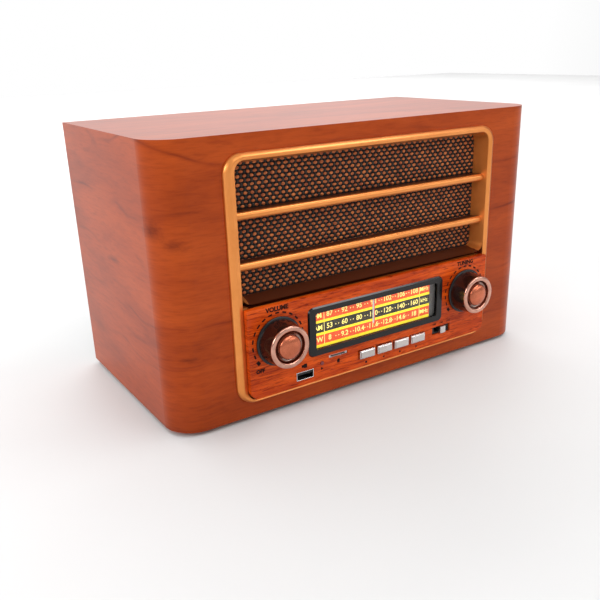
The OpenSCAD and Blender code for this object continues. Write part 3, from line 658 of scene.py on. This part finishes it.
def cross_screw(bm, place):
    """A screw with a cross recess, its head standing from 0 up local z."""
    shank_r, tip, thread_end, sides = 1.5, -11.0, -9.5, 28
    lathe(bm, [(0.0, tip), (shank_r, thread_end), (shank_r, 0.0), (3.0, 0.0), (2.64, 1.2),
               (2.35, 1.75), (HEAD_TOP_R, HEAD_H)], place, sides)
    cross = []
    for quarter in range(4):
        turn = Matrix.Rotation(math.pi / 2 * quarter, 4, "Z")
        cross += [turn @ Vector((x, y, HEAD_H))
                  for x, y in ((CROSS_ARM, -CROSS_HALF), (CROSS_ARM, CROSS_HALF),
                               (CROSS_HALF, CROSS_HALF))]
    rim = [bm.verts.new(place @ p) for p in circle(HEAD_TOP_R, HEAD_H, sides)]
    mouth = [bm.verts.new(place @ p) for p in cross]
    bottom = [bm.verts.new(place @ Vector((CROSS_TAPER * p.x, CROSS_TAPER * p.y,
                                           HEAD_H - CROSS_DEPTH))) for p in cross]
    edges = [bm.edges.new((ring[i], ring[(i + 1) % len(ring)]))
             for ring in (rim, mouth) for i in range(len(ring))]
    bmesh.ops.triangle_fill(bm, use_beauty=True, edges=edges)
    for i in range(len(cross)):
        j = (i + 1) % len(cross)
        bm.faces.new((mouth[i], mouth[j], bottom[j], bottom[i]))
    bm.faces.new(bottom)


def wood_screws():
    """A screw in each place where the CAD node has one, facing up or back as it does."""
    bm = bmesh.new()
    for low, high in loose_boxes("wood_screws"):
        mid = (low + high) / 2
        if high.y - low.y > high.z - low.z:
            place = Matrix.Translation((mid.x, high.y - HEAD_H, mid.z)) @ BACKWARD
        else:
            place = Matrix.Translation((mid.x, mid.y, high.z - HEAD_H))
        twist = Matrix.Rotation(0.37 * mid.x, 4, "Z")
        cross_screw(bm, place @ twist)
    bmesh.ops.remove_doubles(bm, verts=bm.verts, dist=MERGE_MM)
    piece("cross_head_screws", bm, STEEL, "cabinet", ["wood_screws"], 30)


wood_screws()


# ---- grille cloth ----

PITCH_X, PITCH_Z = 4.8, 2.55


def woven_yarns(name, look, draw, half, shift, lift):
    """Humps where one set of yarns comes over the other; shift moves them half a pitch."""
    low, high = box_mm("grille_cloth")
    bm = bmesh.new()
    for j in range(int((high.z - low.z) / PITCH_Z)):
        for i in range(int((high.x - low.x) / PITCH_X)):
            x = low.x + PITCH_X * (i + 0.5 + 0.5 * ((j + shift) % 2))
            z = low.z + PITCH_Z * (j + 0.5)
            if x + half[0] > high.x:
                continue
            size = [h * draw.uniform(0.86, 1.10) for h in half]
            tilt = Matrix.Rotation(draw.uniform(-0.22, 0.22), 4, "Y")
            spot = (Matrix.Translation((x + draw.uniform(-0.08, 0.08), low.y + lift,
                                        z + draw.uniform(-0.06, 0.06)))
                    @ tilt @ FORWARD @ Matrix.Diagonal((*size, 1)))
            lathe(bm, [(1.0, 0.0), (0.92, 0.42), (0.62, 0.80), (0.0, 1.0)], spot, 10)
    return piece(name, bm, look, "cabinet", smooth=80)


def grille_cloth():
    """A tight basket weave: copper floats between dark upright yarns, on a dark sheet."""
    low, high = box_mm("grille_cloth")
    sheet_back, columns, rows = 0.12, 60, 26
    sheet = bmesh.new()
    points = [[sheet.verts.new((low.x + (high.x - low.x) * i / columns, low.y + sheet_back,
                                low.z + (high.z - low.z) * j / rows))
               for j in range(rows + 1)] for i in range(columns + 1)]
    for i in range(columns):
        for j in range(rows):
            sheet.faces.new((points[i][j], points[i + 1][j], points[i + 1][j + 1],
                             points[i][j + 1]))
    cloth = piece("grille_cloth_weave", sheet, BACKING, "cabinet",
                  ["grille_cloth"])
    draw = random.Random(7)
    floats = woven_yarns("grille_copper_floats", YARN_COPPER, draw, (1.50, 1.02, 0.60), 0, 0.20)
    uprights = woven_yarns("grille_dark_yarns", YARN_DARK, draw, (0.95, 1.35, 0.50), 1, 0.18)


grille_cloth()


# ---- grille bezel ----

# Half width, lower edge, upper edge and corner radius of the flange, outside and at its mouth.
FLANGE_OUT = (108.3, 10.3, 167.2, 12.0)
FLANGE_MOUTH = (102.0, 12.5, 163.3, 7.0)
# Its section from the outer wall over the two leaning faces: way in to the mouth, and depth.
FLANGE = ((0.0, 0.0), (0.0, -1.2), (0.03, -1.6), (0.42, -3.3), (0.48, -3.5), (0.56, -3.6),
          (0.64, -3.55), (0.94, -3.15), (1.0, -3.05), (1.03, -2.9), (0.8, 0.0))
FLANGE_CUT = -2.9
# Faces in front of the cabinet and this far outside the mouth belong to the CAD's flange.
OUTSIDE_MOUTH = {"side": 0.02, "top": 0.1, "bottom": 0.05}
BEZEL_MERGE_MM = 0.0005


def cut_bezel():
    """The moulding behind the flange: tray, funnel and slats, taken from the CAD solid."""
    bm = bmesh.new()
    bm.from_mesh(NODES["grille_bezel"].data)
    bm.transform(TO_MM @ NODES["grille_bezel"].matrix_world)
    bmesh.ops.remove_doubles(bm, verts=bm.verts, dist=BEZEL_MERGE_MM)
    for depth, clear in ((FLANGE_CUT, True), (0.0, False)):
        bmesh.ops.bisect_plane(bm, geom=bm.verts[:] + bm.edges[:] + bm.faces[:],
                               plane_co=(0, depth, 0), plane_no=(0, -1, 0), clear_outer=clear)
    half, bottom, top, _ = FLANGE_MOUTH
    flange = []
    for face in bm.faces:
        c = face.calc_center_median()
        outside = (abs(c.x) > half + OUTSIDE_MOUTH["side"] or c.z > top + OUTSIDE_MOUTH["top"]
                   or c.z < bottom - OUTSIDE_MOUTH["bottom"])
        if c.y < -0.01 and outside:
            flange.append(face)
    bmesh.ops.delete(bm, geom=flange, context="FACES")
    return bm


def bezel():
    """The CAD moulding with a finer flange swept round it."""
    piece("bezel_moulding", cut_bezel(), GOLD, "cabinet", ["grille_bezel"], 12)
    bm = bmesh.new()
    loops = []
    for way, depth in FLANGE:
        half, low, high, radius = (a + way * (b - a) for a, b in zip(FLANGE_OUT, FLANGE_MOUTH))
        outline = rounded_outline(2 * half, high - low, radius, 14, 0, (low + high) / 2)
        loops.append([bm.verts.new((x, depth, z)) for x, z in outline])
    for a, b in zip(loops, loops[1:] + loops[:1]):
        for i in range(len(a)):
            j = (i + 1) % len(a)
            bm.faces.new((a[i], a[j], b[j], b[i]))
    piece("bezel_flange", bm, GOLD, "cabinet", smooth=34)


bezel()


# ---- knobs ----

BORE_R = 3.0
FLANGE_TOP = KNOB_BACK + 1.75
BARREL_R = RING_R - 0.1
# The well in the barrel's end, in which the dome stands, and the rim laid round its edge.
WELL_R = 10.6
RIM_INNER_R = 10.4
RIM_H = 1.4
ARC_STEPS = 14


def knob(name, body):
    """Flange, barrel, well, rim and dome of a knob, on its CAD axis."""
    place = facing(KNOBS[name].x, KNOBS[name].z)
    turned(f"{name}_knob_flange",
           [(BORE_R, KNOB_BACK), (KNOB_R - 0.5, KNOB_BACK), (KNOB_R, KNOB_BACK + 0.4),
            (KNOB_R, KNOB_BACK + 1.2), (KNOB_R - 0.35, KNOB_BACK + 1.6),
            (KNOB_R - 1.0, FLANGE_TOP), (BORE_R, FLANGE_TOP)],
           place, DARK_GLOSS, body, [f"{name}_knob_body"])
    turned(f"{name}_knob_barrel",
           [(BORE_R, FLANGE_TOP), (KNOB_R - 1.3, FLANGE_TOP), (KNOB_R - 1.45, FLANGE_TOP + 0.55),
            (BARREL_R + 0.45, RING_FRONT - 6.0), (BARREL_R, RING_FRONT - 1.6),
            (BARREL_R - 0.25, RING_FRONT - 1.35), (WELL_R, RING_FRONT - 1.35)],
           place, CHERRY_GLOSS, body)
    turned(f"{name}_knob_recess",
           [(WELL_R + 0.02, RING_FRONT - 1.35), (WELL_R - 0.1, RING_FRONT - 1.0),
            (WELL_R - 0.5, RECESS + 0.9), (WELL_R - 1.2, RECESS + 0.25),
            (WELL_R - 3.0, RECESS + 0.05), (BORE_R, RECESS + 0.05)],
           place, DARK_CHROME, body)
    mid, half = (RIM_INNER_R + RING_R) / 2, (RING_R - RIM_INNER_R) / 2
    arc = []
    for k in range(ARC_STEPS + 1):
        a = math.pi * k / ARC_STEPS
        arc.append((mid + half * math.cos(a), RING_FRONT - RIM_H + RIM_H * math.sin(a) ** 0.8))
    turned(f"{name}_knob_rim", arc + [arc[0]], place,
           spun(f"spun_rim_{name}", (0.68, 0.36, 0.27), name, 0.12),
           body, [f"{name}_knob_ring"], 60)
    dome_h = CAP_FRONT - RECESS - 1.7
    dome = [(0.0, CAP_FRONT)]
    for k in range(1, ARC_STEPS + 1):
        a = math.pi / 2 * k / ARC_STEPS
        dome.append((CAP_R * math.sin(a) ** 0.92, CAP_FRONT - dome_h * (1 - math.cos(a) ** 0.9)))
    dome += [(CAP_R, RECESS + 0.6), (CAP_R - 0.3, RECESS + 0.1), (0.0, RECESS + 0.1)]
    turned(f"{name}_knob_dome", dome, place,
           spun(f"spun_dome_{name}", (0.62, 0.18, 0.095), name, 0.27),
           body, [f"{name}_knob_cap"], 60)


knob("volume", "volume_knob")
knob("tuning", "tuning_control")


# ---- printing on the panel ----

# A capital's share of the font's size, and the thickness of the panel's print.
CAPITAL = 0.7
PRINT_T = 0.05


def words(text, height, x, z, y=PANEL_Y, bold=0.02):
    """Generic words or figures as thin raised print, in the row frame."""
    curve = bpy.data.curves.new(text, "FONT")
    curve.body = text
    curve.size = height / CAPITAL
    curve.offset = bold
    curve.extrude = PRINT_T / 2
    curve.align_x = "CENTER"
    curve.align_y = "CENTER"
    curve.resolution_u = 3
    obj = link_object(text, curve)
    bpy.context.view_layer.update()
    mesh = bpy.data.meshes.new_from_object(obj.evaluated_get(
        bpy.context.evaluated_depsgraph_get()))
    bpy.data.objects.remove(obj)
    mesh.transform(TO_FRAME @ Matrix.Translation((x, y - PRINT_T / 2, z)) @ FORWARD)
    bm = bmesh.new()
    bm.from_mesh(mesh)
    bpy.data.meshes.remove(mesh)
    return bm


def join_prints(name, parts, look):
    """Joins several prints, already in the row frame, into one piece."""
    whole = bmesh.new()
    for part in parts:
        mesh = bpy.data.meshes.new("print")
        part.to_mesh(mesh)
        part.free()
        whole.from_mesh(mesh)
        bpy.data.meshes.remove(mesh)
    mesh = bpy.data.meshes.new(name)
    whole.to_mesh(mesh)
    whole.free()
    mesh.materials.append(look)
    return place_piece(link_object(name, mesh), "cabinet")


def flat_shape(outline, y=PANEL_Y, thick=PRINT_T):
    """A thin raised print of an outline of (x, z) points, in the row frame."""
    bm = bmesh.new()
    prism(bm, outline, 0, thick, facing(0, 0, y))
    bm.transform(TO_FRAME)
    return bm


def ticks(knob_middle):
    """Dashes round a knob, with a longer mark at each end."""
    radius, sweep, count = 18.0, math.radians(256), 17
    half = math.radians(4.4)
    marks = []
    for k in range(count):
        mid = math.radians(90) + sweep * (k / (count - 1) - 0.5)
        outer = radius + (2.2 if k in (0, count - 1) else 1.1)
        arc = [mid + share * half for share in (-1, -1 / 3, 1 / 3, 1)]
        corners = [(radius, a) for a in arc] + [(outer, a) for a in arc[::-1]]
        marks.append(flat_shape([(knob_middle.x + r * math.cos(a),
                                  knob_middle.z + r * math.sin(a)) for r, a in corners]))
    return marks


# Outlines of the small pictures, about their own middles.
PLUG = ((-2.6, -0.9), (-1.0, -0.9), (-1.0, -1.4), (1.6, -1.4), (1.6, 1.4), (-1.0, 1.4),
        (-1.0, 0.9), (-2.6, 0.9))
CARD = ((-1.2, -1.3), (1.0, -1.3), (1.0, 1.3), (-0.5, 1.3), (-1.2, 0.6))
LAMP = ((-0.9, -1.1), (1.1, 0.0), (-0.9, 1.1))
STOP = rectangle(-0.8, -0.8, 0.8, 0.8)
BACK = ((0.9, -1.0), (0.9, 1.0), (-0.9, 0.0))
PLAY = ((-0.9, -1.0), (0.9, 0.0), (-0.9, 1.0))


def picture(outline, node, z):
    """A small picture on the panel, straight above or below a CAD node."""
    x = middle(node).x
    return flat_shape([(x + dx, z + dz) for dx, dz in outline])


def panel_print_pieces():
    """Names and dashes of the knobs, and the marks beside the sockets and buttons."""
    volume, tuning = KNOBS["volume"], KNOBS["tuning"]
    prints = [words("VOLUME", 2.9, volume.x, volume.z + 21.2, bold=0.2),
              words("TUNING", 2.9, tuning.x, tuning.z + 21.2, bold=0.2),
              words("OFF", 2.5, volume.x - 13.9, volume.z - 17.6, bold=0.2)]
    prints += ticks(volume) + ticks(tuning)
    prints += [picture(PLUG, "usb_shell", 27.9), picture(CARD, "card_socket", 24.7),
               picture(LAMP, "play_led", 22.4)]
    for k, outline in enumerate((STOP, BACK, PLAY, PLAY)):
        prints.append(picture(outline, f"push_button_{k + 1}", 17.2))
    switch_x = middle("band_switch_body").x
    for k, text in enumerate(("AM", "FM", "SW")):
        prints.append(words(text, 1.7, switch_x + 7.0 * (k - 1), 30.0))
    join_prints("panel_legends", prints, LEGEND)


panel_print_pieces()


# ---- dial scale ----

# Each band: name, numbers, unit, lower and upper edge, and its colour.
BANDS = (("FM", (87, 92, 95, 98, 102, 106, 108), "MHz", (55.3, 61.9), LIT_RED),
         ("AM", (53, 60, 80, 100, 120, 140, 160), "kHz", (46.7, 53.5), SCALE_BLACK),
         ("SW", (8, 9.2, 10.4, 11.6, 12.8, 14.6, 18), "MHz", (38.4, 44.9), LIT_RED))
DIAL_LEFT, DIAL_RIGHT, DIAL_LOW, DIAL_HIGH = -53.3, 48.6, 36.4, 62.2
GROUND_T = 0.06


def dial_art():
    """Yellow ground, a strip for each band on it, and the figures on the strips."""
    strip_y = SCALE_Y - GROUND_T
    figure_y = strip_y - PRINT_T
    first, step, dot = DIAL_LEFT + 14.2, 12.2, 0.8
    ground = rectangle(DIAL_LEFT, DIAL_LOW, DIAL_RIGHT, DIAL_HIGH)
    yellow = [flat_shape(ground, SCALE_Y, GROUND_T)]
    figures, red, black = [], [], []
    for label, numbers, unit, (low, high), look in BANDS:
        strip = flat_shape(rectangle(DIAL_LEFT, low, DIAL_RIGHT, high), strip_y)
        (red if look is LIT_RED else black).append(strip)
        mid = (low + high) / 2
        figures.append(words(label, 3.4, DIAL_LEFT + 5.0, mid, figure_y, 0.05))
        figures.append(words(unit, 2.9, DIAL_RIGHT - 5.0, mid, figure_y, 0.04))
        for x in (DIAL_LEFT + 9.6, DIAL_RIGHT - 9.6):
            figures.append(flat_shape(rectangle(x, low, x + 0.35, high), figure_y))
        for k, number in enumerate(numbers):
            x = first + step * k
            figures.append(words(str(number), 3.5, x, mid, figure_y, 0.06))
            if k < len(numbers) - 1:
                for way in (4.9, 7.2):
                    figures.append(flat_shape(rounded_outline(dot, dot, 0.39, 3, x + way, mid),
                                              figure_y))
    join_prints("dial_yellow_print", yellow, LIT_YELLOW)
    join_prints("dial_red_print", red, LIT_RED)
    join_prints("dial_black_print", black, SCALE_BLACK)
    join_prints("dial_figures", figures, LIT_FIGURE)


dial_art()


# ---- camera, light and floor ----

CAMERA_MM = (-293.3, -369.8, 222.3)
CAMERA_TURN = (69.27, 1.56, -33.69)
LENS_MM = 43.41
SENSOR_MM = 36
CAMERA_SHIFT = (-0.0157, 0.0341)
FLOOR_HALF_M = 4


def set_camera():
    """A camera in front of the radio, to its left and a little above it."""
    data = bpy.data.cameras.new("camera")
    data.lens = LENS_MM
    data.sensor_width = SENSOR_MM
    data.shift_x, data.shift_y = CAMERA_SHIFT
    camera = link_object("camera", data)
    camera.location = TO_FRAME @ Vector(CAMERA_MM)
    camera.rotation_euler = Euler([math.radians(a) for a in CAMERA_TURN])
    bpy.context.scene.camera = camera


def lay_floor():
    """A plain pale floor at the height that the feet stand on."""
    look = Look("pale_floor", Roughness=0.6)
    cloudy = look.noise(look.place((3, 3, 3)), 1.0, 3.0, 0.5)
    look.set("Base_Color", look.ramp(cloudy, (0.3, 0.67), (0.7, 0.71)))
    mesh = bpy.data.meshes.new("floor")
    corners = rectangle(-FLOOR_HALF_M, -FLOOR_HALF_M, FLOOR_HALF_M, FLOOR_HALF_M)
    mesh.from_pydata([(x, y, 0) for x, y in corners], [], [(0, 1, 2, 3)])
    mesh.materials.append(look.material)
    link_object("floor", mesh)


def soft_light(name, place, size, power, target=(0, 0, 0.09)):
    """A rectangular lamp that looks at target; places and sizes in metres."""
    data = bpy.data.lights.new(name, "AREA")
    data.shape = "RECTANGLE"
    data.size, data.size_y = size
    data.energy = power
    light = link_object(name, data)
    light.location = place
    light.rotation_euler = (Vector(target) - Vector(place)).to_track_quat("-Z", "Y").to_euler()


def studio_walls():
    """Plain grey surroundings, brighter behind the radio."""
    world = bpy.data.worlds.new("studio")
    world.use_nodes = True
    nodes, links = world.node_tree.nodes, world.node_tree.links
    coords = nodes.new("ShaderNodeTexCoord")
    toward_back = nodes.new("ShaderNodeVectorMath")
    toward_back.operation = "DOT_PRODUCT"
    toward_back.inputs[1].default_value = (-0.15, 0.97, 0.15)
    walls = nodes.new("ShaderNodeValToRGB")
    for point, (place, grey) in zip(walls.color_ramp.elements, ((0.0, 0.64), (0.5, 1.0))):
        point.position = place
        point.color = (grey, grey, grey, 1)
    links.new(coords.outputs["Generated"], toward_back.inputs[0])
    links.new(toward_back.outputs["Value"], walls.inputs[0])
    links.new(walls.outputs[0], nodes["Background"].inputs["Color"])
    nodes["Background"].inputs["Strength"].default_value = 1.0
    bpy.context.scene.world = world


set_camera()
lay_floor()
soft_light("key", (0.1, -1.05, 1.5), (1.2, 0.9), 7)
soft_light("front", (1.15, -1.45, 0.85), (1.5, 0.4), 4.5)
soft_light("left", (-1.75, -0.35, 0.95), (1.0, 0.8), 13)
soft_light("top", (0.95, -0.4, 1.7), (0.8, 0.45), 7)
soft_light("back", (0.5, 1.9, 1.3), (3.4, 0.9), 6)
soft_light("far", (0.8, 3.0, 1.8), (5.0, 3.0), 95, (0.8, 3.0, 0))
studio_walls()
bpy.context.scene.view_settings.view_transform = "Standard"
